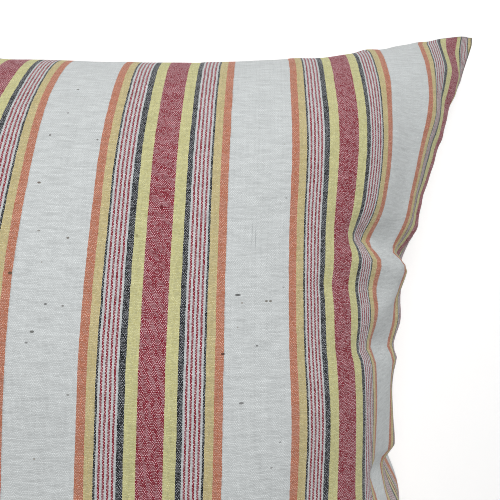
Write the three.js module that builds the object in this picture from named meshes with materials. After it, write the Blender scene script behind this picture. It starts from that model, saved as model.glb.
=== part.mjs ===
// A plump square cushion in striped handwoven cotton, lying on its back.
// Two equal square panels are sewn together along one knife edge and turned, around a soft filling.
// Millimetres, +Z up. The stripes run along Y, and the origin is under the middle of the cushion.
// Places on the cloth are given as s (across) and t (along the stripes), each -1 to 1 from seam to seam.

import * as THREE from 'three';

// Driving dimensions
const SEWN_SIDE = 500;
const FRONT_CROWN = 108;
const SEAM_HEIGHT = 70;

// Roundness of the crown, and how much of the back lies flat on the surface
const CROWN_POWER = 3.08;
const FLAT_SHARE = 0.86;
const BACK_CURVE = 1.3;

// The thin corners hang lower than the middle of each seam
const CORNER_SAG = 55;
const SAG_POWER = 3.73;

// The seam stands out as a narrow lip, and the squashed back bulges a little below it
const SEAM_LIP = 4;
const LIP_WIDTH = 0.035;
const BACK_BULGE = 14;
const BULGE_POWER = 5;

// Cells from the middle to a seam when the cloth is laid out, and how many of them one face spans
const NET_CELLS = 48;
const NET_ROUNDS = 16;
const FACE_STEP = 2;
const LEAST_STEP = 0.1;

// The turned corners reach out past the drawn-in sides, each a little differently
const EAR_POWER = 3.7;
const EARS = [
  { corner: [1, 1], out: 19.5, up: 8, lift: 13.7 },
  { corner: [-1, 1], out: 15, up: 12, lift: 9 },
  { corner: [-1, -1], out: 17, up: 14, lift: 12 },
  { corner: [1, -1], out: 13, up: 16, lift: 7 },
];

// Broad folds of the front: each starts at a seam and fades inwards as a ridge (rise) or a trough (minus).
// along: place on the seam; lean: how far it drifts on its way in; width and reach: in shares of a half side
const FOLDS = [
  { side: 'right', along: 0.76, lean: -0.36, width: 0.15, reach: 0.55, rise: 4.6 },
  { side: 'right', along: 0.34, lean: 0.28, width: 0.18, reach: 0.37, rise: -8.2 },
  { side: 'right', along: 0.03, lean: 0.31, width: 0.12, reach: 0.66, rise: 3.4 },
  { side: 'right', along: 0.05, lean: 0.30, width: 0.17, reach: 0.18, rise: -2.4 },
  { side: 'right', along: -0.22, lean: 0.55, width: 0.19, reach: 0.62, rise: 6.5 },
  { side: 'right', along: -0.62, lean: -0.10, width: 0.13, reach: 0.42, rise: -6 },
  { side: 'right', along: 0.82, lean: 0, width: 0.13, reach: 0.12, rise: -4.5 },
  { side: 'right', along: 0.45, lean: 0, width: 0.13, reach: 0.22, rise: 4.5 },
  { side: 'right', along: 0.06, lean: 0, width: 0.14, reach: 0.30, rise: -12.5 },
  { side: 'top', along: 0.88, lean: 0, width: 0.12, reach: 0.25, rise: -3.5 },
  { side: 'top', along: -0.08, lean: 0.55, width: 0.10, reach: 0.55, rise: -2.6 },
  { side: 'top', along: -0.16, lean: 0.21, width: 0.18, reach: 0.69, rise: 5.7 },
  { side: 'top', along: -0.55, lean: -0.15, width: 0.13, reach: 0.40, rise: -5 },
  { side: 'left', along: 0.58, lean: 0.20, width: 0.12, reach: 0.40, rise: -6 },
  { side: 'left', along: 0.18, lean: -0.20, width: 0.17, reach: 0.55, rise: 6 },
  { side: 'left', along: -0.24, lean: -0.15, width: 0.12, reach: 0.45, rise: -7 },
  { side: 'left', along: -0.60, lean: 0.25, width: 0.15, reach: 0.50, rise: 5 },
  { side: 'bottom', along: -0.46, lean: 0.20, width: 0.13, reach: 0.45, rise: -6 },
  { side: 'bottom', along: -0.05, lean: -0.25, width: 0.17, reach: 0.55, rise: 6 },
  { side: 'bottom', along: 0.38, lean: 0.20, width: 0.12, reach: 0.45, rise: -7 },
];

const HALF_SIDE = SEWN_SIDE / 2;

// 1 in the middle of the cloth, 0 at every seam
function fullness(s, t) {
  return (1 - Math.abs(s) ** CROWN_POWER) * (1 - Math.abs(t) ** CROWN_POWER);
}

// Height of the seam's own sheet at this place: level but for the sagging corners
function seamSheet(s, t) {
  return SEAM_HEIGHT - CORNER_SAG * Math.abs(s * t) ** SAG_POWER;
}

function frontHeight(s, t) {
  return seamSheet(s, t) + FRONT_CROWN * fullness(s, t);
}

// The share of the seam's height that is left on the way under: 1 at the seam, 0 where the back lies flat
function backShare(s, t) {
  return Math.max(0, 1 - fullness(s, t) / FLAT_SHARE) ** BACK_CURVE;
}

function squareTable(size) {
  return Array.from({ length: size }, () => new Float64Array(size));
}

// Lays one quarter of the front out in plan so that every thread keeps its length over the crown:
// what a thread spends on rising, or on drifting sideways, it lacks in reach
function planOfQuarter() {
  const size = NET_CELLS + 1;
  const cell = HALF_SIDE / NET_CELLS;
  const x = squareTable(size);
  const y = squareTable(size);
  const z = squareTable(size);
  for (let i = 0; i < size; i += 1) {
    for (let j = 0; j < size; j += 1) {
      x[i][j] = i * cell;
      y[i][j] = j * cell;
      z[i][j] = frontHeight(i / NET_CELLS, j / NET_CELLS);
    }
  }
  const leastReach = LEAST_STEP * cell;
  const reach = (rise, drift) => Math.sqrt(Math.max(cell ** 2 - rise ** 2 - drift ** 2, leastReach ** 2));
  for (let round = 0; round < NET_ROUNDS; round += 1) {
    const lastX = x.map((row) => row.slice());
    const lastY = y.map((row) => row.slice());
    for (let k = 0; k < size; k += 1) {
      let across = 0;
      let along = 0;
      for (let m = 1; m < size; m += 1) {
        across += reach(z[m][k] - z[m - 1][k], lastY[m][k] - lastY[m - 1][k]);
        along += reach(z[k][m] - z[k][m - 1], lastX[k][m] - lastX[k][m - 1]);
        x[m][k] = (lastX[m][k] + across) / 2;
        y[k][m] = (lastY[k][m] + along) / 2;
      }
    }
  }
  return { x, y };
}

// Distance inwards from a side, and the place along it
const SIDES = {
  right: (s, t) => [1 - s, t],
  left: (s, t) => [1 + s, t],
  top: (s, t) => [1 - t, s],
  bottom: (s, t) => [1 + t, s],
};

function foldRise(s, t) {
  let rise = 0;
  for (const fold of FOLDS) {
    const [inwards, place] = SIDES[fold.side](s, t);
    const across = (place - fold.along - fold.lean * inwards) / fold.width;
    rise += fold.rise * Math.exp(-(across ** 2) - (inwards / fold.reach) ** 2);
  }
  return rise;
}

function earShift(s, t) {
  const shift = new THREE.Vector3();
  for (const { corner: [sideS, sideT], out, up, lift } of EARS) {
    const near = (Math.max(0, s * sideS) * Math.max(0, t * sideT)) ** EAR_POWER;
    shift.add(new THREE.Vector3(out * sideS, up * sideT, lift).multiplyScalar(near));
  }
  return shift;
}

// The narrow lip, pointing straight out of the seam and strongest on it
function lipShift(s, t) {
  const lipAt = (place) => Math.sign(place) * Math.exp(-(1 - Math.abs(place)) / LIP_WIDTH);
  return new THREE.Vector3(lipAt(s), lipAt(t), 0).multiplyScalar(SEAM_LIP);
}

// Grids of points for the two panels, indexed from the left seam and from the bottom seam
function layPanels() {
  const plan = planOfQuarter();
  const count = 2 * NET_CELLS + 1;
  const place = (index) => index / NET_CELLS - 1;
  const planPoint = (i, j, height) => {
    const s = place(i);
    const t = place(j);
    const a = Math.abs(i - NET_CELLS);
    const b = Math.abs(j - NET_CELLS);
    return new THREE.Vector3(Math.sign(s) * plan.x[a][b], Math.sign(t) * plan.y[a][b], height);
  };
  const smooth = Array.from({ length: count }, (_, i) =>
    Array.from({ length: count }, (_, j) => planPoint(i, j, frontHeight(place(i), place(j)))));

  const normalAt = (i, j) => {
    const left = smooth[Math.max(i - 1, 0)][j];
    const right = smooth[Math.min(i + 1, count - 1)][j];
    const below = smooth[i][Math.max(j - 1, 0)];
    const above = smooth[i][Math.min(j + 1, count - 1)];
    const across = right.clone().sub(left);
    return across.cross(above.clone().sub(below)).normalize();
  };

  const front = [];
  const back = [];
  for (let i = 0; i < count; i += FACE_STEP) {
    const frontRow = [];
    const backRow = [];
    for (let j = 0; j < count; j += FACE_STEP) {
      const s = place(i);
      const t = place(j);
      const fold = normalAt(i, j).multiplyScalar(foldRise(s, t));
      const edge = earShift(s, t).add(lipShift(s, t));
      frontRow.push(smooth[i][j].clone().add(fold).add(edge));

      const share = backShare(s, t);
      const bulge = 4 * share * (1 - share) * BACK_BULGE;
      const under = planPoint(i, j, 0);
      under.x += bulge * Math.sign(s) * Math.abs(s) ** BULGE_POWER;
      under.y += bulge * Math.sign(t) * Math.abs(t) ** BULGE_POWER;
      const seamMove = fold.add(edge).multiplyScalar(share);
      under.z = seamSheet(s, t) * share;
      backRow.push(under.add(seamMove));
    }
    front.push(frontRow);
    back.push(backRow);
  }
  return { front, back };
}

// One closed body: the front's grid, and the back's grid hung on the same seam points
function cushionGeometry() {
  const { front, back } = layPanels();
  const last = front.length - 1;
  const points = [];
  const indexOf = { front: [], back: [] };
  for (let i = 0; i <= last; i += 1) {
    indexOf.front.push(front[i].map((point) => points.push(point) - 1));
  }
  for (let i = 0; i <= last; i += 1) {
    indexOf.back.push(back[i].map((point, j) => {
      const onSeam = i === 0 || j === 0 || i === last || j === last;
      return onSeam ? indexOf.front[i][j] : points.push(point) - 1;
    }));
  }
  // Every square is split along the line that points to the middle, so no corner is cut off
  const faces = [];
  const middleIndex = last / 2;
  const split = (a, b, c, d, fromA) => (fromA ? [a, b, c, a, c, d] : [b, c, d, b, d, a]);
  for (let i = 0; i < last; i += 1) {
    for (let j = 0; j < last; j += 1) {
      const fromA = (i < middleIndex) === (j < middleIndex);
      const around = (grid) => [grid[i][j], grid[i + 1][j], grid[i + 1][j + 1], grid[i][j + 1]];
      faces.push(...split(...around(indexOf.front), fromA));
      const [a, b, c, d] = around(indexOf.back);
      faces.push(...split(a, d, c, b, fromA));
    }
  }
  const geometry = new THREE.BufferGeometry().setFromPoints(points);
  geometry.setIndex(faces);
  geometry.computeBoundingBox();
  const middle = geometry.boundingBox.getCenter(new THREE.Vector3());
  geometry.translate(-middle.x, -middle.y, 0);
  geometry.computeVertexNormals();
  return geometry;
}

const cloth = new THREE.MeshStandardMaterial({ color: '#cfd2d0', roughness: 0.9, metalness: 0 });
const cushion = new THREE.Mesh(cushionGeometry(), cloth);
cushion.name = 'cushion';

const group = new THREE.Group();
group.add(cushion);

export default group;
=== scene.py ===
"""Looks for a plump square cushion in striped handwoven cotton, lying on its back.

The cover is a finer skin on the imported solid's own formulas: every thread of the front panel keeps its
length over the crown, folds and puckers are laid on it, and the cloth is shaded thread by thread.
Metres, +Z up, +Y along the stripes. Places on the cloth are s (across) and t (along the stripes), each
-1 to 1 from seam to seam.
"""

import logging
import math
from dataclasses import dataclass, field
from enum import Enum

import bpy
import numpy as np
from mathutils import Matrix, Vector


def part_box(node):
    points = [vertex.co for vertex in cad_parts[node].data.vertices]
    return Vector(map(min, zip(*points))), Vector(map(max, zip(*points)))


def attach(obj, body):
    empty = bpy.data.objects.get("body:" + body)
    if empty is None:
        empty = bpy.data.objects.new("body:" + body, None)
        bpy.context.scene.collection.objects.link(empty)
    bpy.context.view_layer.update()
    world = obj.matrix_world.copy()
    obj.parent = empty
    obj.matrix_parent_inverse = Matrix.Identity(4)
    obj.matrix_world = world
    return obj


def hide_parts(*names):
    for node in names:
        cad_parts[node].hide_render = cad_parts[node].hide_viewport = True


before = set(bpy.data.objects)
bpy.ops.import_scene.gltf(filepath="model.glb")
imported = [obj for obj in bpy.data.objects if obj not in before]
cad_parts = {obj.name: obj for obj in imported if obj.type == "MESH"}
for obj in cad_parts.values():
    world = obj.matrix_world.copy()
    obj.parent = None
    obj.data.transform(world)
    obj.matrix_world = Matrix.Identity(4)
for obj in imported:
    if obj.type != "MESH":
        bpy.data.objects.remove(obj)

LOG = logging.getLogger("cushion")
Grid = np.ndarray
Colour = tuple[float, float, float, float]

CUSHION_NODE = "cushion"
BODY = "root"
CLOTH_SLOT = "striped_cotton"
CLOTH_MAP = "Cloth"
BAKE_MAP = "OFBake"


def linear(hex_code: str) -> Colour:
    """Turns a display colour into the linear one that shaders use.

    Args:
        hex_code: Six hexadecimal digits.

    Returns:
        Red, green, blue and alpha, each 0 to 1.
    """
    shown = [int(hex_code[place : place + 2], 16) / 255 for place in (0, 2, 4)]
    red, green, blue = (
        value / 12.92 if value <= 0.04045 else ((value + 0.055) / 1.055) ** 2.4
        for value in shown
    )
    return red, green, blue, 1.0


class Side(Enum):
    """A seam of the cushion: which way it lies from the middle, across and along."""

    RIGHT = (1, 0)
    LEFT = (-1, 0)
    TOP = (0, 1)
    BOTTOM = (0, -1)

    def measure(self, s: Grid, t: Grid) -> tuple[Grid, Grid]:
        """Measures places from this seam.

        Args:
            s: Places across the stripes.
            t: Places along the stripes.

        Returns:
            How far inwards each place is, and where along the seam it is.
        """
        across, along = self.value
        inwards = 1 - (s * across + t * along)
        return inwards, (t if across else s)


@dataclass(frozen=True)
class Fold:
    """A broad ridge or trough that starts at a seam. Shares of a half side, but rise in metres.

    along is its place on the seam, lean how far it drifts along the seam on its way in, and width and
    reach its size.
    """

    side: Side
    along: float
    lean: float
    width: float
    reach: float
    rise: float

    def height(self, s: Grid, t: Grid) -> Grid:
        """Works out how far the fold lifts the cloth at each place, in metres."""
        inwards, place = self.side.measure(s, t)
        across = (place - self.along - self.lean * inwards) / self.width
        return self.rise * np.exp(-(across**2) - (inwards / self.reach) ** 2)


@dataclass(frozen=True)
class Crease:
    """A crease between two places (s, t) on the cloth: a ridge, or a trough where rise is minus.

    left and right are its widths on either hand, seen from start to end, and bow is how far its middle
    bends to the left, all in shares of a half side. fade is how softly its ends run out, in lengths.
    """

    start: tuple[float, float]
    end: tuple[float, float]
    rise: float
    left: float
    right: float
    bow: float = 0.0
    fade: float = 0.25

    def height(self, s: Grid, t: Grid) -> Grid:
        """Works out how far the crease lifts the cloth at each place, in metres."""
        run_s = self.end[0] - self.start[0]
        run_t = self.end[1] - self.start[1]
        length = math.hypot(run_s, run_t)
        off_s = s - self.start[0]
        off_t = t - self.start[1]
        along = (off_s * run_s + off_t * run_t) / length**2
        inside = np.clip(along, 0, 1)
        across = (off_t * run_s - off_s * run_t) / length - 4 * self.bow * inside * (1 - inside)
        across = across / np.where(across > 0, self.left, self.right)
        past = (along - inside) / self.fade
        return self.rise * np.exp(-(across**2) - past**2)


@dataclass(frozen=True)
class Nudge:
    """A place (s, t) on the cloth that is pushed sideways.

    across and along are its size, in shares of a half side, and push is in metres.
    """

    at: tuple[float, float]
    across: float
    along: float
    push: tuple[float, float, float]

    def shift(self, s: Grid, t: Grid) -> Grid:
        """Works out the vector that each place moves by."""
        off = ((s - self.at[0]) / self.across) ** 2 + ((t - self.at[1]) / self.along) ** 2
        return np.exp(-off)[..., None] * np.array(self.push)


@dataclass(frozen=True)
class Ear:
    """How far one turned corner reaches out, up the cloth and upwards past the drawn-in sides."""

    corner: tuple[int, int]
    out: float
    up: float
    lift: float

    def near(self, s: Grid, t: Grid, power: float) -> Grid:
        """Weighs each place from 0 in the middle to 1 at this corner."""
        side_s, side_t = self.corner
        return (np.clip(s * side_s, 0, None) * np.clip(t * side_t, 0, None)) ** power


EARS = (
    Ear((1, 1), 0.0195, 0.008, 0.0137),
    Ear((-1, 1), 0.015, 0.012, 0.009),
    Ear((-1, -1), 0.017, 0.014, 0.012),
    Ear((1, -1), 0.013, 0.016, 0.007),
)

BROAD_FOLDS = (
    Fold(Side.RIGHT, 0.76, -0.36, 0.15, 0.55, 0.0046),
    Fold(Side.RIGHT, 0.34, 0.28, 0.18, 0.37, -0.0082),
    Fold(Side.RIGHT, 0.03, 0.31, 0.12, 0.66, 0.0034),
    Fold(Side.RIGHT, 0.05, 0.30, 0.17, 0.18, -0.0024),
    Fold(Side.RIGHT, -0.22, 0.55, 0.19, 0.62, 0.0065),
    Fold(Side.RIGHT, -0.62, -0.10, 0.13, 0.42, -0.006),
    Fold(Side.RIGHT, 0.82, 0.0, 0.13, 0.12, -0.0045),
    Fold(Side.RIGHT, 0.45, 0.0, 0.13, 0.22, 0.0045),
    Fold(Side.RIGHT, 0.06, 0.0, 0.14, 0.30, -0.0125),
    Fold(Side.TOP, 0.88, 0.0, 0.12, 0.25, -0.0035),
    Fold(Side.TOP, -0.08, 0.55, 0.10, 0.55, -0.0026),
    Fold(Side.TOP, -0.16, 0.21, 0.18, 0.69, 0.0057),
    Fold(Side.TOP, -0.55, -0.15, 0.13, 0.40, -0.005),
    Fold(Side.LEFT, 0.58, 0.20, 0.12, 0.40, -0.006),
    Fold(Side.LEFT, 0.18, -0.20, 0.17, 0.55, 0.006),
    Fold(Side.LEFT, -0.24, -0.15, 0.12, 0.45, -0.007),
    Fold(Side.LEFT, -0.60, 0.25, 0.15, 0.50, 0.005),
    Fold(Side.BOTTOM, -0.46, 0.20, 0.13, 0.45, -0.006),
    Fold(Side.BOTTOM, -0.05, -0.25, 0.17, 0.55, 0.006),
    Fold(Side.BOTTOM, 0.38, 0.20, 0.12, 0.45, -0.007),
)

# Creases of the visible right side, placed one by one
CREASES = (
    Crease((0.81, 0.70), (0.81, 0.49), -0.0036, 0.045, 0.07),
    Crease((0.93, 0.74), (0.93, 0.48), 0.0014, 0.05, 0.045),
    Crease((0.88, 0.93), (0.88, 0.72), 0.0034, 0.05, 0.09),
    Crease((0.71, 0.460), (0.93, 0.426), -0.0046, 0.034, 0.012),
    Crease((0.69, 0.428), (0.88, 0.402), 0.0022, 0.010, 0.026),
    Crease((0.62, 0.385), (0.75, 0.372), -0.0012, 0.020, 0.020),
    Crease((0.765, 0.28), (0.765, 0.10), -0.0038, 0.09, 0.05),
    Crease((0.90, 0.30), (0.90, 0.09), 0.0040, 0.05, 0.05),
    Crease((0.70, 0.280), (0.90, 0.258), -0.0027, 0.032, 0.013),
    Crease((0.77, 0.345), (0.86, 0.375), 0.0012, 0.040, 0.014),
    Crease((0.75, 0.072), (0.90, 0.055), -0.0036, 0.012, 0.032),
    Crease((0.80, -0.03), (1.00, -0.05), 0.0040, 0.05, 0.06),
)

# Places where the filling or a fold has pushed the cloth, at the visible corner and right side
NUDGES = (
    Nudge((0.925, 0.85), 0.045, 0.075, (0.0034, 0.0, 0.0020)),
    Nudge((0.965, 0.83), 0.030, 0.085, (0.0020, 0.0, 0.0010)),
    Nudge((0.905, 0.70), 0.035, 0.130, (-0.0028, 0.0, -0.0012)),
    Nudge((0.905, 0.50), 0.035, 0.120, (-0.0022, 0.0, -0.0010)),
    Nudge((0.945, 0.68), 0.025, 0.100, (0.0004, 0.0, 0.0)),
    Nudge((0.945, 0.50), 0.025, 0.130, (0.0014, 0.0, 0.0)),
    Nudge((0.850, 0.35), 0.030, 0.060, (-0.0014, 0.0, -0.0006)),
    Nudge((0.915, 0.375), 0.035, 0.050, (0.0008, 0.0, 0.0)),
    Nudge((0.900, 0.075), 0.060, 0.050, (0.0024, 0.0, 0.0)),
    Nudge((0.840, -0.03), 0.060, 0.060, (-0.0030, 0.0, -0.0012)),
    Nudge((0.870, 0.205), 0.035, 0.040, (-0.0018, 0.0, -0.0008)),
    Nudge((0.775, 0.005), 0.045, 0.065, (-0.0030, 0.0, 0.0)),
    Nudge((0.850, 0.000), 0.045, 0.060, (-0.0044, 0.0, 0.0010)),
    Nudge((0.710, 0.440), 0.050, 0.045, (-0.0016, 0.0, 0.0)),
    Nudge((0.770, 0.295), 0.060, 0.040, (0.0009, 0.0, 0.0)),
    Nudge((1.0, 1.0), 0.020, 0.020, (-0.0013, -0.0016, 0.0)),
)


@dataclass(frozen=True)
class CornerSlip:
    """How far the visible corner was cut off the thread, so that it shows more of the stripes.

    spread is the slip in metres that grows towards the corner, and tip the slip past the fold at its
    very end, whose place and softness are shares of a half side.
    """

    spread: float = 0.0075
    power: float = 11.0
    tip: float = 0.0062
    tip_at: tuple[float, float] = (0.969, 0.950)
    tip_edge: tuple[float, float] = (0.006, 0.008)

    def shift(self, s: Grid, t: Grid) -> Grid:
        """Works out the slip across the stripes at each place, in metres."""
        past_fold = 1 / (1 + np.exp((self.tip_at[0] - s) / self.tip_edge[0]))
        in_tip = 1 / (1 + np.exp((self.tip_at[1] - t) / self.tip_edge[1]))
        spread = self.spread * (np.clip(s, 0, None) * np.clip(t, 0, None)) ** self.power
        return spread + in_tip * (self.tip * past_fold - spread)


@dataclass
class CushionShape:
    """The form of the cushion: two square panels on one seam. Sizes in metres, places in shares."""

    half_side: float = 0.250
    front_crown: float = 0.108
    seam_height: float = 0.070
    crown_power: float = 3.08
    flat_share: float = 0.86
    back_curve: float = 1.3
    corner_sag: float = 0.055
    sag_power: float = 3.73
    seam_lip: float = 0.004
    lip_width: float = 0.035
    back_bulge: float = 0.014
    bulge_power: float = 5.0
    ear_power: float = 3.7
    cells: int = 104
    edge_crowding: float = 0.4
    net_rounds: int = 16
    least_step: float = 0.1
    folds: tuple[Fold, ...] = BROAD_FOLDS
    ears: tuple[Ear, ...] = EARS

    def quarter_places(self) -> Grid:
        """Spreads the net's lines from the middle to a seam, closer together near the seam."""
        even = np.linspace(0, 1, self.cells + 1)
        return even + self.edge_crowding * np.sin(np.pi * even) / np.pi

    def fullness(self, s: Grid, t: Grid) -> Grid:
        """Is 1 in the middle of the cloth and 0 at every seam."""
        return (1 - np.abs(s) ** self.crown_power) * (1 - np.abs(t) ** self.crown_power)

    def seam_sheet(self, s: Grid, t: Grid) -> Grid:
        """Is the height of the seam's own sheet: level but for the sagging corners."""
        return self.seam_height - self.corner_sag * np.abs(s * t) ** self.sag_power

    def front_height(self, s: Grid, t: Grid) -> Grid:
        """Is the height of the smooth front."""
        return self.seam_sheet(s, t) + self.front_crown * self.fullness(s, t)

    def back_share(self, s: Grid, t: Grid) -> Grid:
        """Is the share of the seam's height left on the way under: 0 where the back lies flat."""
        return np.clip(1 - self.fullness(s, t) / self.flat_share, 0, None) ** self.back_curve

    def lay_plan(self, places: Grid) -> tuple[Grid, Grid]:
        """Lays one quarter of the front out in plan so that every thread keeps its length.

        Args:
            places: The net's lines, from 0 in the middle to 1 at the seam.

        Returns:
            The distances across and along, from the middle, of every crossing.
        """
        threads = places * self.half_side
        x, y = np.meshgrid(threads, threads, indexing="ij")
        z = self.front_height(*np.meshgrid(places, places, indexing="ij"))
        cell = np.diff(threads)
        for _ in range(self.net_rounds):
            across = self.reach(cell[:, None], np.diff(z, axis=0), np.diff(y, axis=0))
            along = self.reach(cell[None, :], np.diff(z, axis=1), np.diff(x, axis=1))
            x = (x + np.pad(np.cumsum(across, axis=0), ((1, 0), (0, 0)))) / 2
            y = (y + np.pad(np.cumsum(along, axis=1), ((0, 0), (1, 0)))) / 2
        return x, y

    def reach(self, cell: Grid, rise: Grid, drift: Grid) -> Grid:
        """Works out what is left of a thread's cell after it has risen and drifted sideways."""
        return np.sqrt(np.maximum(cell**2 - rise**2 - drift**2, (self.least_step * cell) ** 2))

    def both_ways(self, quarter: Grid, sign_across: int, sign_along: int) -> Grid:
        """Mirrors a quarter's table to the whole panel, turning signs where asked."""
        half = np.concatenate([sign_across * quarter[:0:-1], quarter])
        return np.concatenate([sign_along * half[:, :0:-1], half], axis=1)

    def edge_shift(self, s: Grid, t: Grid) -> Grid:
        """Adds the corner ears and the seam's narrow lip, as a vector at each place."""
        shift = np.zeros((*s.shape, 3))
        for ear in self.ears:
            side_s, side_t = ear.corner
            way = np.array([ear.out * side_s, ear.up * side_t, ear.lift])
            shift += ear.near(s, t, self.ear_power)[..., None] * way
        shift[..., 0] += self.seam_lip * np.sign(s) * np.exp((np.abs(s) - 1) / self.lip_width)
        shift[..., 1] += self.seam_lip * np.sign(t) * np.exp((np.abs(t) - 1) / self.lip_width)
        return shift


@dataclass
class Puckers:
    """The small gathers that the seam thread draws into the cloth, uneven along each seam."""

    seed: int = 41
    spacing: float = 0.052
    unevenness: float = 0.45
    ends: float = 0.82
    height: tuple[float, float] = (0.0003, 0.0011)
    width: tuple[float, float] = (0.012, 0.026)
    reach: tuple[float, float] = (0.05, 0.16)
    lean: float = 0.25

    def folds(self) -> list[Fold]:
        """Scatters the gathers.

        Returns:
            One small ridge or trough for each.
        """
        chance = np.random.default_rng(self.seed)
        found = []
        for side in Side:
            place = -self.ends
            while place < self.ends:
                place += self.spacing * (1 + self.unevenness * chance.uniform(-1, 1))
                rise = chance.uniform(*self.height) * chance.choice([-1, 1])
                found.append(
                    Fold(
                        side,
                        place,
                        chance.uniform(-self.lean, self.lean),
                        chance.uniform(*self.width),
                        chance.uniform(*self.reach),
                        rise,
                    )
                )
        return found


@dataclass
class Filling:
    """The faint lumps of the filling under the cloth, as a few seeded waves."""

    seed: int = 7
    waves: int = 26
    lengths: tuple[float, float] = (0.16, 0.52)
    height: float = 0.00042

    def lumps(self, s: Grid, t: Grid) -> Grid:
        """Works out the lumps' height at each place, in metres."""
        chance = np.random.default_rng(self.seed)
        total = np.zeros_like(s)
        for _ in range(self.waves):
            turn = chance.uniform(0, 2 * np.pi)
            length = chance.uniform(*self.lengths)
            phase = chance.uniform(0, 2 * np.pi)
            total += np.sin(2 * np.pi * (s * np.cos(turn) + t * np.sin(turn)) / length + phase)
        return self.height * total / np.sqrt(self.waves / 2)


@dataclass(frozen=True)
class Signal:
    """A value that flows through a material's nodes, with the operators that the cloth needs."""

    sheet: "NodeSheet"
    socket: bpy.types.NodeSocket

    def __add__(self, other: "Signal | float") -> "Signal":
        """Adds."""
        return self.sheet.maths("ADD", self, other)

    __radd__ = __add__

    def __sub__(self, other: "Signal | float") -> "Signal":
        """Subtracts."""
        return self.sheet.maths("SUBTRACT", self, other)

    def __rsub__(self, other: "Signal | float") -> "Signal":
        """Subtracts this from a number."""
        return self.sheet.maths("SUBTRACT", other, self)

    def __mul__(self, other: "Signal | float") -> "Signal":
        """Multiplies."""
        return self.sheet.maths("MULTIPLY", self, other)

    def __truediv__(self, other: "Signal | float") -> "Signal":
        """Divides."""
        return self.sheet.maths("DIVIDE", self, other)

    def __gt__(self, other: "Signal | float") -> "Signal":
        """Is 1 where this is greater, else 0."""
        return self.sheet.maths("GREATER_THAN", self, other)

    def __lt__(self, other: "Signal | float") -> "Signal":
        """Is 1 where this is less, else 0."""
        return self.sheet.maths("LESS_THAN", self, other)


class NodeSheet:
    """A material's node tree, built from expressions and one method for every other node."""

    def __init__(self, name: str) -> None:
        """Starts an empty material.

        Args:
            name: The material's name.
        """
        self.material = bpy.data.materials.new(name)
        self.material.use_nodes = True
        self.tree = self.material.node_tree
        self.tree.nodes.clear()

    def place(
        self, kind: str, settings: dict[str, object] | None, inputs: dict[str | int, object] | None
    ) -> bpy.types.Node:
        """Adds one node.

        Args:
            kind: The node's type.
            settings: Its own settings, set before its sockets; stops are a ramp's.
            inputs: Values or signals for its sockets.

        Returns:
            The node.
        """
        made = self.tree.nodes.new(kind)
        for name, value in (settings or {}).items():
            if name == "stops":
                self.set_stops(made.color_ramp, value)
            else:
                setattr(made, name, value)
        for name, value in (inputs or {}).items():
            self.feed(made.inputs[name], value)
        return made

    def node(
        self,
        kind: str,
        settings: dict[str, object] | None = None,
        inputs: dict[str | int, object] | None = None,
        output: str | int = 0,
    ) -> Signal:
        """Adds one node and reads one of its outputs.

        Args:
            kind: The node's type.
            settings: Its own settings.
            inputs: Values or signals for its sockets.
            output: The socket that is read.

        Returns:
            The output's signal.
        """
        return Signal(self, self.place(kind, settings, inputs).outputs[output])

    def finish(self, surface: Signal) -> bpy.types.Material:
        """Makes a shader the material's surface and returns the material."""
        self.place("ShaderNodeOutputMaterial", None, {"Surface": surface})
        return self.material

    def feed(self, socket: bpy.types.NodeSocket, value: object) -> None:
        """Links a signal to a socket, or sets a plain value on it."""
        if isinstance(value, Signal):
            self.tree.links.new(value.socket, socket)
        else:
            socket.default_value = value

    @staticmethod
    def set_stops(ramp: bpy.types.ColorRamp, stops: list[tuple[float, Colour]]) -> None:
        """Fills a ramp with stops that each hold their colour up to the next.

        Args:
            ramp: The ramp.
            stops: Position and colour of each stop, in order.
        """
        ramp.interpolation = "CONSTANT"
        while len(ramp.elements) > 1:
            ramp.elements.remove(ramp.elements[-1])
        ramp.elements[0].position, ramp.elements[0].color = stops[0]
        for position, colour in stops[1:]:
            ramp.elements.new(position).color = colour

    def maths(self, operation: str, *values: object) -> Signal:
        """Adds a Math node on one, two or three values."""
        return self.node("ShaderNodeMath", {"operation": operation}, dict(enumerate(values)))

    def blend(self, factor: object, first: object, second: object, mode: str = "MIX") -> Signal:
        """Mixes two colours.

        Args:
            factor: How much of the second, 0 to 1.
            first: The colour at 0.
            second: The colour at 1.
            mode: Blender's blend type.

        Returns:
            The mixed colour.
        """
        settings = {"data_type": "RGBA", "blend_type": mode, "clamp_factor": True}
        return self.node("ShaderNodeMix", settings, {0: factor, 6: first, 7: second}, output=2)

    def scaled(self, colour: object, factor: object) -> Signal:
        """Multiplies all parts of a colour by one number."""
        return self.node("ShaderNodeVectorMath", {"operation": "SCALE"}, {0: colour, "Scale": factor})

    def vector(self, x: object, y: object, z: object = 0.0) -> Signal:
        """Joins three numbers into a vector."""
        return self.node("ShaderNodeCombineXYZ", None, {0: x, 1: y, 2: z})

    def noise(self, place: Signal, scale: float, detail: float = 0.0) -> Signal:
        """Adds smooth noise in the plane, about -0.5 to 0.5.

        Args:
            place: Where it is read.
            scale: Waves for each unit of place.
            detail: Extra octaves.

        Returns:
            The noise.
        """
        inputs = {"Vector": place, "Scale": scale, "Detail": detail}
        return self.node("ShaderNodeTexNoise", {"noise_dimensions": "2D"}, inputs) - 0.5

    def chance(self, x: object, y: object = 0.0) -> Signal:
        """Adds one random number, 0 to 1, for each pair of whole numbers."""
        settings = {"noise_dimensions": "2D"}
        return self.node("ShaderNodeTexWhiteNoise", settings, {"Vector": self.vector(x, y)})


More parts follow.
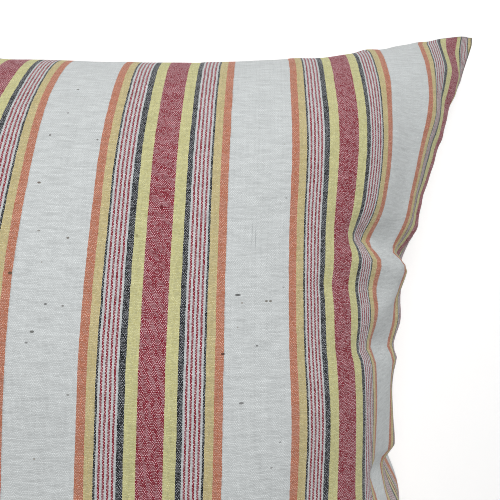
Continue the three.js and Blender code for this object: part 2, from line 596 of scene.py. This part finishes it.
class Yarn(Enum):
    """The warp yarns. Each has its own colour and the weft's where it crosses, as linear colours.

    Where it crosses, the weft is tinted towards the colour of the yarns that it passes under, and between
    the black yarns its colour is darkened as painted shade.
    """

    NATURAL = ((0.604, 0.632, 0.632, 1.0), (0.736, 0.764, 0.766, 1.0))
    RED = ((0.235, 0.004, 0.018, 1.0), (0.93, 0.635, 0.675, 1.0))
    YELLOW = ((0.62, 0.59, 0.28, 1.0), (0.82, 0.81, 0.50, 1.0))
    # Painted shade: the weft's colour among the black yarns is darker than among the natural ones
    BLACK = ((0.005, 0.006, 0.008, 1.0), (0.52, 0.54, 0.57, 1.0))
    TAN = ((0.59, 0.49, 0.24, 1.0), (0.80, 0.72, 0.47, 1.0))
    ORANGE = ((0.50, 0.175, 0.10, 1.0), (0.84, 0.52, 0.42, 1.0))


PINSTRIPES = ((Yarn.NATURAL, 2), (Yarn.RED, 2)) * 4 + ((Yarn.NATURAL, 2),)


@dataclass(frozen=True)
class Speck:
    """A slub, knot or seed in the cloth, on the front. Place and half sizes in metres."""

    u: float
    v: float
    wide: float
    high: float
    colour: Colour

    def mask(self, u: Signal, v: Signal) -> Signal:
        """Is 1 inside the speck and 0 outside."""
        off_u = (u - self.u) * (1 / self.wide)
        off_v = (v - self.v) * (1 / self.high)
        return off_u * off_u + off_v * off_v < 1.0


SPECKS = (
    Speck(0.08673, 0.1240, 0.00055, 0.0009, (0.13, 0.002, 0.008, 1.0)),
    Speck(0.0772, 0.0510, 0.0006, 0.0006, (0.012, 0.012, 0.014, 1.0)),
    Speck(0.0389, 0.0989, 0.0007, 0.0005, (0.10, 0.070, 0.045, 1.0)),
    Speck(0.0435, 0.1321, 0.0006, 0.0004, (0.13, 0.09, 0.06, 1.0)),
    Speck(0.0440, 0.1523, 0.0004, 0.0004, (0.13, 0.12, 0.11, 1.0)),
    Speck(0.0486, 0.1633, 0.0004, 0.0004, (0.30, 0.30, 0.30, 1.0)),
    Speck(0.0559, 0.1118, 0.0005, 0.0004, (0.17, 0.15, 0.13, 1.0)),
    Speck(0.0462, 0.1139, 0.0005, 0.0003, (0.28, 0.27, 0.25, 1.0)),
    Speck(0.0614, 0.1508, 0.0004, 0.0003, (0.17, 0.16, 0.15, 1.0)),
    Speck(0.1165, 0.0560, 0.0009, 0.0004, (0.20, 0.20, 0.20, 1.0)),
    Speck(0.1150, 0.0927, 0.0011, 0.00035, (0.035, 0.035, 0.035, 1.0)),
    Speck(0.1099, 0.0726, 0.0007, 0.0004, (0.06, 0.02, 0.015, 1.0)),
    Speck(0.0790, 0.1133, 0.0005, 0.0006, (0.38, 0.34, 0.16, 1.0)),
    Speck(0.0475, 0.0800, 0.0007, 0.0004, (0.12, 0.12, 0.11, 1.0)),
    Speck(0.0495, 0.1775, 0.0005, 0.0004, (0.16, 0.16, 0.16, 1.0)),
    Speck(0.0510, 0.0890, 0.0005, 0.0003, (0.13, 0.13, 0.13, 1.0)),
    Speck(0.0460, 0.0765, 0.0005, 0.0003, (0.20, 0.20, 0.20, 1.0)),
    Speck(0.0565, 0.0885, 0.0004, 0.0003, (0.20, 0.19, 0.18, 1.0)),
    Speck(0.0600, 0.0600, 0.0005, 0.0003, (0.30, 0.30, 0.29, 1.0)),
    Speck(0.1220, 0.0750, 0.0005, 0.0003, (0.16, 0.16, 0.16, 1.0)),
    Speck(0.1257, 0.0905, 0.0006, 0.0003, (0.14, 0.12, 0.09, 1.0)),
    Speck(0.1273, 0.0905, 0.0006, 0.0003, (0.14, 0.12, 0.09, 1.0)),
    Speck(0.1330, 0.1295, 0.0005, 0.0002, (0.20, 0.20, 0.20, 1.0)),
    Speck(0.1325, 0.0955, 0.0005, 0.0002, (0.25, 0.25, 0.25, 1.0)),
    Speck(0.1305, 0.0420, 0.0005, 0.0002, (0.20, 0.20, 0.20, 1.0)),
    Speck(0.1275, 0.0335, 0.0005, 0.0003, (0.34, 0.34, 0.34, 1.0)),
    Speck(0.1199, 0.1147, 0.00012, 0.0042, (0.40, 0.42, 0.43, 1.0)),
    Speck(0.1213, 0.1134, 0.00012, 0.0038, (0.40, 0.42, 0.43, 1.0)),
)


@dataclass(frozen=True)
class Weave:
    """How uneven the handwoven threads are.

    Waves are for each metre, and a step sets one thread's noise apart from the next one's. Sways are in
    threads and bodies are half widths in pitches. A strength says how far a noise, or chance at a
    crossing, changes the value before it.
    """

    slow_waves: float = 22.0
    slow_sway: float = 1.4
    slant_waves: float = 16.0
    slant_sway: float = 3.0
    quick_waves: float = 170.0
    quick_warp_sway: float = 0.7
    quick_weft_sway: float = 0.9
    fine_waves: float = 560.0
    fine_warp_sway: float = 0.45
    fine_weft_sway: float = 1.4

    warp_step: float = 3.7
    warp_waves: float = 130.0
    weft_step: float = 5.3
    weft_waves: float = 150.0
    band_waves: tuple[float, float] = (110.0, 850.0)
    patch_waves: float = 190.0

    warp_body: float = 0.49
    warp_body_strength: float = 0.10
    weft_body: float = 0.45
    weft_body_strength: float = 0.24
    weft_body_band_strength: float = 0.12

    stray_natural: float = 0.30
    stray_coloured: float = 0.65
    stray_patches: float = 0.50

    thread_tone: float = 0.07
    warp_tone_along: float = 0.18
    warp_tone_across: float = 0.25
    warp_tone_coloured: float = 0.25
    weft_tone_along: float = 0.30
    weft_tone_bands: float = 0.24
    weft_tone_natural: float = 0.10
    weft_tone_coloured: float = 0.50

    relief_along_weft: float = 0.8
    bump_strength: float = 0.6
    bump_depth: float = 0.00012
    roughness: float = 0.85
    roughness_strength: float = 0.1


@dataclass(frozen=True)
class Threads:
    """Where a spot lies in the weave.

    uv, u and v are its place on the cloth in metres. warp_at and weft_at count threads up to it, and
    warp and weft are the whole numbers of the two threads that it belongs to.
    """

    uv: Signal
    u: Signal
    v: Signal
    warp_at: Signal
    weft_at: Signal
    warp: Signal
    weft: Signal


@dataclass(frozen=True)
class Seeds:
    """The thin scatter of small seeds: how many cells a metre, which cells have one, and its look."""

    cells: float = 60.0
    empty_share: float = 0.70
    size: float = 0.07
    strength: float = 0.55
    colour: Colour = (0.20, 0.15, 0.10, 1.0)


@dataclass(frozen=True)
class StripedCotton:
    """The cloth: plain weave, coloured warp along the stripes and one natural weft. Sizes in metres.

    The stripes are listed in threads, from the middle of a group outwards.
    """

    repeat: float = 0.0727
    repeat_threads: int = 193
    weft_pitch: float = 0.00050
    middle_stripe: float = 0.0865
    left_half: tuple[tuple[Yarn, int], ...] = (
        (Yarn.RED, 12),
        (Yarn.YELLOW, 11),
        (Yarn.BLACK, 6),
        *PINSTRIPES,
        (Yarn.BLACK, 2),
        (Yarn.TAN, 8),
        (Yarn.ORANGE, 8),
    )
    right_half: tuple[tuple[Yarn, int], ...] = (
        (Yarn.RED, 12),
        (Yarn.YELLOW, 11),
        (Yarn.BLACK, 5),
        *PINSTRIPES,
        (Yarn.BLACK, 2),
        (Yarn.TAN, 8),
        (Yarn.ORANGE, 8),
    )
    spacing_wave: float = 0.29
    spacing_drift: tuple[float, float] = (-4.35, 2.65)
    crimp: float = 0.42
    coloured_cover: float = 0.60
    natural_cover: float = -0.10
    # Painted shade: the share of a thread's colour left in the gaps between threads, in the coloured and
    # the natural stripes
    coloured_gap_shade: float = 0.42
    natural_gap_shade: float = 0.66
    weave: Weave = Weave()
    seeds: Seeds = Seeds()
    specks: tuple[Speck, ...] = SPECKS
    speck_strength: float = 0.85

    def stripes(self, sheet: NodeSheet, from_middle: Signal, crossed: bool) -> Signal:
        """Colours one group of stripes.

        Args:
            sheet: The material's nodes.
            from_middle: Threads from the group's middle, minus on the left.
            crossed: Whether it colours the weft that crosses there, or else the warp.

        Returns:
            The colour.
        """
        share = sheet.maths("ABSOLUTE", from_middle) * (2 / self.repeat_threads)
        halves = []
        for half in (self.left_half, self.right_half):
            stops = []
            start = 0
            for yarn, count in (*half, (Yarn.NATURAL, 0)):
                stops.append((2 * start / self.repeat_threads, yarn.value[int(crossed)]))
                start += count
            halves.append(sheet.node("ShaderNodeValToRGB", {"stops": stops}, {"Fac": share}))
        return sheet.blend(from_middle > 0.0, *halves)

    def make(self) -> bpy.types.Material:
        """Builds the material.

        Returns:
            The finished material.
        """
        sheet = NodeSheet(CLOTH_SLOT)
        weave = self.weave
        threads = self.lay_threads(sheet)
        along_weft = sheet.noise(
            sheet.vector(threads.u * weave.weft_waves, threads.weft * weave.weft_step), 1.0, detail=1.0
        )
        colour, top = self.cross_threads(sheet, threads, along_weft)
        colour = self.add_specks(sheet, threads, colour)
        relief = top + along_weft * weave.relief_along_weft
        bump = sheet.node(
            "ShaderNodeBump",
            None,
            {"Strength": weave.bump_strength, "Distance": weave.bump_depth, "Height": relief},
            "Normal",
        )
        cloth = sheet.node(
            "ShaderNodeBsdfPrincipled",
            None,
            {
                "Base Color": colour,
                "Roughness": weave.roughness + along_weft * weave.roughness_strength,
                "Normal": bump,
                "Specular IOR Level": 0.2,
                "Sheen Weight": 0.06,
                "Sheen Roughness": 0.55,
            },
        )
        return sheet.finish(cloth)

    def lay_threads(self, sheet: NodeSheet) -> Threads:
        """Works out which thread each spot belongs to, both ways.

        The threads wander a little, and the groups of stripes are unevenly spaced.

        Args:
            sheet: The material's nodes.

        Returns:
            The threads at each spot.
        """
        weave = self.weave
        uv = sheet.node("ShaderNodeUVMap", {"uv_map": CLOTH_MAP})
        u = sheet.node("ShaderNodeSeparateXYZ", None, {0: uv}, "X")
        v = sheet.node("ShaderNodeSeparateXYZ", None, {0: uv}, "Y")
        across = u - self.middle_stripe
        turn = across * (2 * math.pi / self.spacing_wave)
        level, slope = self.spacing_drift
        drift = level - sheet.maths("COSINE", turn) * level + sheet.maths("SINE", turn) * slope
        turned = sheet.vector(v, u)
        slow_sway = sheet.noise(uv, weave.slow_waves, detail=1.0)
        slow_slant = sheet.noise(turned, weave.slant_waves, detail=1.0)
        quick_sway = sheet.noise(uv, weave.quick_waves, detail=1.0)
        fine_sway = sheet.noise(uv, weave.fine_waves)
        fine_slant = sheet.noise(turned, weave.fine_waves)
        warp_at = across * (self.repeat_threads / self.repeat) + drift
        warp_at = warp_at + slow_sway * weave.slow_sway + quick_sway * weave.quick_warp_sway
        warp_at = warp_at + fine_sway * weave.fine_warp_sway
        weft_at = v / self.weft_pitch + slow_slant * weave.slant_sway
        weft_at = weft_at + quick_sway * weave.quick_weft_sway + fine_slant * weave.fine_weft_sway
        return Threads(
            uv=uv,
            u=u,
            v=v,
            warp_at=warp_at,
            weft_at=weft_at,
            warp=sheet.maths("FLOOR", warp_at),
            weft=sheet.maths("FLOOR", weft_at),
        )

    def cross_threads(
        self, sheet: NodeSheet, threads: Threads, along_weft: Signal
    ) -> tuple[Signal, Signal]:
        """Weaves warp and weft over each other.

        Args:
            sheet: The material's nodes.
            threads: The threads at each spot.
            along_weft: Noise along each weft thread.

        Returns:
            The colour of the thread on top, darkened towards the gaps between threads as painted shade,
            and how high it stands, in pitches.
        """
        weave = self.weave
        warp, weft = threads.warp, threads.weft
        half_repeat = self.repeat_threads / 2
        in_group = sheet.maths("FLOORED_MODULO", warp + 0.5 + half_repeat, self.repeat_threads)
        from_middle = in_group - half_repeat
        group_half = sum(count for _, count in self.left_half)
        coloured = sheet.maths("ABSOLUTE", from_middle) < group_half

        # How thick each thread is at this spot, and how each crossing differs
        along_warp = sheet.noise(
            sheet.vector(warp * weave.warp_step, threads.v * weave.warp_waves), 1.0, detail=1.0
        )
        band_u, band_v = weave.band_waves
        bands = sheet.noise(sheet.vector(threads.u * band_u, threads.v * band_v), 1.0, detail=1.0)
        patches = sheet.noise(threads.uv, weave.patch_waves, detail=2.0)
        crossing = sheet.chance(warp, weft) - 0.5
        warp_body = weave.warp_body + along_warp * weave.warp_body_strength
        weft_body = weave.weft_body + along_weft * weave.weft_body_strength
        weft_body = weft_body + bands * weave.weft_body_band_strength

        # Plain weave: each thread rises over every second one that it meets
        wave = sheet.maths("COSINE", (threads.weft_at - 0.5 + warp) * math.pi) * self.crimp
        warp_off = sheet.maths("FRACT", threads.warp_at) - 0.5
        weft_off = sheet.maths("FRACT", threads.weft_at) - 0.5
        warp_top = self.dome(sheet, warp_off, warp_body) + wave
        weft_top = self.dome(sheet, weft_off, weft_body) - wave
        cover = self.natural_cover + coloured * (self.coloured_cover - self.natural_cover)
        stray = crossing * (coloured * weave.stray_coloured + weave.stray_natural)
        stray = stray + patches * weave.stray_patches
        shows_warp = warp_top + cover + stray > weft_top
        top = weft_top + shows_warp * (warp_top - weft_top)

        thread_tone = (sheet.chance(warp) - 0.5) * weave.thread_tone
        warp_tone = 1.0 + thread_tone + along_warp * weave.warp_tone_along
        warp_tone = warp_tone + along_weft * weave.warp_tone_across
        warp_tone = warp_tone + crossing * coloured * weave.warp_tone_coloured
        weft_tone = 1.0 + along_weft * weave.weft_tone_along + bands * weave.weft_tone_bands
        weft_tone = weft_tone + crossing * (coloured * weave.weft_tone_coloured + weave.weft_tone_natural)
        colour = sheet.blend(
            shows_warp,
            sheet.scaled(self.stripes(sheet, from_middle, crossed=True), weft_tone),
            sheet.scaled(self.stripes(sheet, from_middle, crossed=False), warp_tone),
        )

        # Painted shade: the colour is darkened where a thread's top falls away into the gaps between
        # threads, more in the coloured stripes than in the natural ones
        gap = self.natural_gap_shade + coloured * (self.coloured_gap_shade - self.natural_gap_shade)
        height = sheet.node(
            "ShaderNodeMapRange",
            {"interpolation_type": "SMOOTHSTEP"},
            {"Value": top, "From Min": 0.0, "From Max": 1.0, "To Min": 0.0, "To Max": 1.0},
        )
        return sheet.scaled(colour, gap + height * (1.0 - gap)), top

    def add_specks(self, sheet: NodeSheet, threads: Threads, colour: Signal) -> Signal:
        """Lays the listed slubs and seeds that show, and a thin scatter of small ones over a colour.

        Args:
            sheet: The material's nodes.
            threads: The threads at each spot.
            colour: The woven colour.

        Returns:
            The colour with the slubs and seeds.
        """
        for speck in self.specks:
            shown = speck.mask(threads.u, threads.v) * self.speck_strength
            colour = sheet.blend(shown, colour, speck.colour)
        scatter = {"voronoi_dimensions": "2D"}
        cells = {"Vector": threads.uv, "Scale": self.seeds.cells}
        seed_off = sheet.node("ShaderNodeTexVoronoi", scatter, cells, "Distance")
        seed_kind = sheet.node("ShaderNodeTexVoronoi", scatter, cells, "Color")
        seed_pick = sheet.node("ShaderNodeSeparateColor", None, {0: seed_kind}, "Red")
        seed = seed_off < (seed_pick - self.seeds.empty_share) * self.seeds.size
        return sheet.blend(seed * self.seeds.strength, colour, self.seeds.colour)

    @staticmethod
    def dome(sheet: NodeSheet, off: Signal, body: Signal) -> Signal:
        """Shapes a thread's round top.

        Args:
            sheet: The material's nodes.
            off: Distance from the thread's line, in pitches.
            body: The thread's half width, in pitches.

        Returns:
            1 on its line and 0 at its edges.
        """
        share = off / body
        return sheet.maths("SQRT", sheet.maths("MAXIMUM", 1 - share * share, 0.0))


@dataclass
class CushionCover:
    """The sewn cover: front and back panel as one closed skin."""

    shape: CushionShape = field(default_factory=CushionShape)
    puckers: Puckers = field(default_factory=Puckers)
    filling: Filling = field(default_factory=Filling)
    cloth: StripedCotton = field(default_factory=StripedCotton)
    back_pattern: float = 1.013
    corner_slip: CornerSlip = field(default_factory=CornerSlip)
    bake_margin: float = 0.01
    middle: Vector = field(default_factory=Vector)

    def panels(self) -> tuple[Grid, Grid, Grid, Grid]:
        """Works out every point of both panels.

        Returns:
            The places s and t, and the front's and the back's points.
        """
        shape = self.shape
        quarter = shape.quarter_places()
        places = np.concatenate([-quarter[:0:-1], quarter])
        s, t = np.meshgrid(places, places, indexing="ij")
        plan_x, plan_y = shape.lay_plan(quarter)
        x = shape.both_ways(plan_x, -1, 1)
        y = shape.both_ways(plan_y, 1, -1)
        smooth = np.stack([x, y, shape.front_height(s, t)], axis=-1)
        normal = np.cross(np.gradient(smooth, axis=0), np.gradient(smooth, axis=1))
        normal /= np.linalg.norm(normal, axis=-1, keepdims=True)

        rise = sum(fold.height(s, t) for fold in (*shape.folds, *CREASES, *self.puckers.folds()))
        move = normal * rise[..., None] + shape.edge_shift(s, t)
        move += sum(nudge.shift(s, t) for nudge in NUDGES)
        lumps = self.filling.lumps(s, t) * np.sqrt(shape.fullness(s, t))
        front = smooth + move + normal * lumps[..., None]

        share = shape.back_share(s, t)
        bulge = 4 * share * (1 - share) * shape.back_bulge
        back = np.stack(
            [
                x + bulge * np.sign(s) * np.abs(s) ** shape.bulge_power,
                y + bulge * np.sign(t) * np.abs(t) ** shape.bulge_power,
                shape.seam_sheet(s, t) * share,
            ],
            axis=-1,
        )
        back += move * share[..., None]
        back[..., 2] = np.maximum(back[..., 2], 0.0)
        return s, t, front, back

    @staticmethod
    def split_squares(count: int) -> Grid:
        """Splits the grid's squares in two, each along the line that points to the middle.

        Args:
            count: Points along one side of the grid.

        Returns:
            Three point numbers for each triangle, with the front's winding.
        """
        i, j = np.meshgrid(np.arange(count - 1), np.arange(count - 1), indexing="ij")
        i = i.ravel()
        j = j.ravel()
        a = i * count + j
        b = a + count
        c = b + 1
        d = a + 1
        half = (count - 1) / 2
        from_a = ((i < half) == (j < half))[:, None, None]
        one = np.stack([np.stack([a, b, c], 1), np.stack([a, c, d], 1)], 1)
        other = np.stack([np.stack([b, c, d], 1), np.stack([b, d, a], 1)], 1)
        return np.where(from_a, one, other).reshape(-1, 3)

    def build(self) -> bpy.types.Object:
        """Makes the cover's mesh, in place.

        Returns:
            The cover.
        """
        s, t, front, back = self.panels()
        count = s.shape[0]
        on_seam = np.zeros((count, count), dtype=bool)
        on_seam[[0, -1], :] = True
        on_seam[:, [0, -1]] = True
        on_seam = on_seam.ravel()
        back_number = np.arange(count * count)
        back_number[~on_seam] = count * count + np.arange((~on_seam).sum())
        points = np.concatenate([front.reshape(-1, 3), back.reshape(-1, 3)[~on_seam]])

        low, high = (np.array(corner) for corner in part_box(CUSHION_NODE))
        middle = (points.min(0) + points.max(0) - low - high) / 2
        middle[2] = 0.0
        points -= middle
        self.middle = Vector(-middle)

        faces = self.split_squares(count)
        turned = faces[:, ::-1]
        mesh = bpy.data.meshes.new("cushion_cover")
        mesh.from_pydata(points.tolist(), [], np.concatenate([faces, back_number[turned]]).tolist())
        half = self.shape.half_side
        u = (s * half + self.corner_slip.shift(s, t)).ravel()
        v = (t * half).ravel()
        self.lay_map(mesh, CLOTH_MAP, faces, turned, (u, v), (self.back_pattern - u, v))
        across = (s.ravel() + 1) / 4
        up = (t.ravel() + 1) / 2 * (1 - 2 * self.bake_margin) + self.bake_margin
        across = across * (1 - 4 * self.bake_margin) + self.bake_margin
        self.lay_map(mesh, BAKE_MAP, faces, turned, (across, up), (across + 0.5, up))
        mesh.shade_smooth()
        cover = bpy.data.objects.new("cushion_cover", mesh)
        bpy.context.scene.collection.objects.link(cover)
        return cover

    @staticmethod
    def lay_map(
        mesh: bpy.types.Mesh,
        name: str,
        front_faces: Grid,
        back_faces: Grid,
        front: tuple[Grid, Grid],
        back: tuple[Grid, Grid],
    ) -> None:
        """Adds one map of the cloth, with the two panels apart.

        Args:
            mesh: The cover's mesh.
            name: The map's name.
            front_faces: The front's triangles, by grid point.
            back_faces: The back's triangles, by grid point.
            front: The front's two coordinates at each grid point.
            back: The back's.
        """
        layer = mesh.uv_layers.new(name=name)
        front_map = np.stack(front, axis=1)[front_faces.ravel()]
        back_map = np.stack(back, axis=1)[back_faces.ravel()]
        layer.data.foreach_set("uv", np.concatenate([front_map, back_map]).ravel())

    def dress(self, cover: bpy.types.Object) -> None:
        """Gives the cover its cloth and its place in the frame.

        Args:
            cover: The built cover.
        """
        cover.data.materials.append(self.cloth.make())
        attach(cover, BODY)
        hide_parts(CUSHION_NODE)


@dataclass
class PhotoCamera:
    """The camera straight above the cushion, close to its upper right. Metres, from its middle."""

    across: float = 0.11565
    along: float = 0.1084
    height: float = 0.354
    tilt: float = 0.0
    sway: float = -0.014
    turn: float = 0.023
    focal_pixels: float = 540.85
    picture_pixels: float = 500.0
    sensor: float = 36.0
    nearest: float = 0.01

    def build(self, middle: Vector) -> bpy.types.Object:
        """Places the camera and makes it the scene's.

        Args:
            middle: Where the middle of the cushion's cloth lies.

        Returns:
            The camera.
        """
        data = bpy.data.cameras.new("photo_camera")
        data.sensor_fit = "HORIZONTAL"
        data.sensor_width = self.sensor
        data.lens = self.focal_pixels / self.picture_pixels * self.sensor
        data.clip_start = self.nearest
        camera = bpy.data.objects.new("photo_camera", data)
        camera.location = (middle.x + self.across, middle.y + self.along, self.height)
        camera.rotation_euler = (self.tilt, self.sway, self.turn)
        bpy.context.scene.collection.objects.link(camera)
        bpy.context.scene.camera = camera
        return camera


@dataclass
class Studio:
    """A pale floor under one soft light above and behind. Metres and watts."""

    floor_half: float = 3.0
    floor_drop: float = 0.0004
    floor_glow: float = 0.31
    sky: float = 0.10
    window_at: tuple[float, float, float] = (0.17, 0.50, 1.05)
    window_size: float = 0.7
    window_power: float = 9.6
    pixel_filter: float = 1.1

    def build(self) -> None:
        """Adds the floor, the sky and one large soft light."""
        half = self.floor_half
        corners = [(-half, -half), (half, -half), (half, half), (-half, half)]
        mesh = bpy.data.meshes.new("floor")
        mesh.from_pydata([(x, y, -self.floor_drop) for x, y in corners], [], [(0, 1, 2, 3)])
        floor = bpy.data.objects.new("floor", mesh)
        bpy.context.scene.collection.objects.link(floor)
        sheet = NodeSheet("pale_floor")
        paint = sheet.node(
            "ShaderNodeBsdfPrincipled",
            None,
            {
                "Base Color": linear("fafafa"),
                "Roughness": 0.9,
                "Specular IOR Level": 0.1,
                "Emission Color": (1.0, 1.0, 1.0, 1.0),
                "Emission Strength": self.floor_glow,
            },
        )
        mesh.materials.append(sheet.finish(paint))

        world = bpy.data.worlds.new("studio")
        world.use_nodes = True
        background = world.node_tree.nodes["Background"]
        background.inputs["Color"].default_value = (1.0, 1.0, 1.0, 1.0)
        background.inputs["Strength"].default_value = self.sky
        bpy.context.scene.world = world

        data = bpy.data.lights.new("window", "AREA")
        data.size = self.window_size
        data.energy = self.window_power
        window = bpy.data.objects.new("window", data)
        window.location = self.window_at
        window.rotation_euler = (-Vector(self.window_at)).to_track_quat("-Z", "Y").to_euler()
        bpy.context.scene.collection.objects.link(window)
        bpy.context.scene.view_settings.view_transform = "Standard"
        # The denoiser's first pass and a wide pixel filter would wipe the weave out
        bpy.context.scene.cycles.denoising_prefilter = "NONE"
        bpy.context.scene.cycles.filter_width = self.pixel_filter


def main() -> None:
    """Builds the cover, the camera and the studio, in order."""
    logging.basicConfig(level=logging.INFO, format="%(name)s: %(message)s")
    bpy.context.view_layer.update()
    cover = CushionCover()
    piece = cover.build()
    cover.dress(piece)
    LOG.info("%s: %d triangles", piece.name, len(piece.data.polygons))
    camera = PhotoCamera().build(cover.middle)
    LOG.info("%s at %s", camera.name, tuple(round(value, 3) for value in camera.location))
    Studio().build()
    LOG.info("studio: floor, sky and window")


if __name__ == "__main__":
    main()
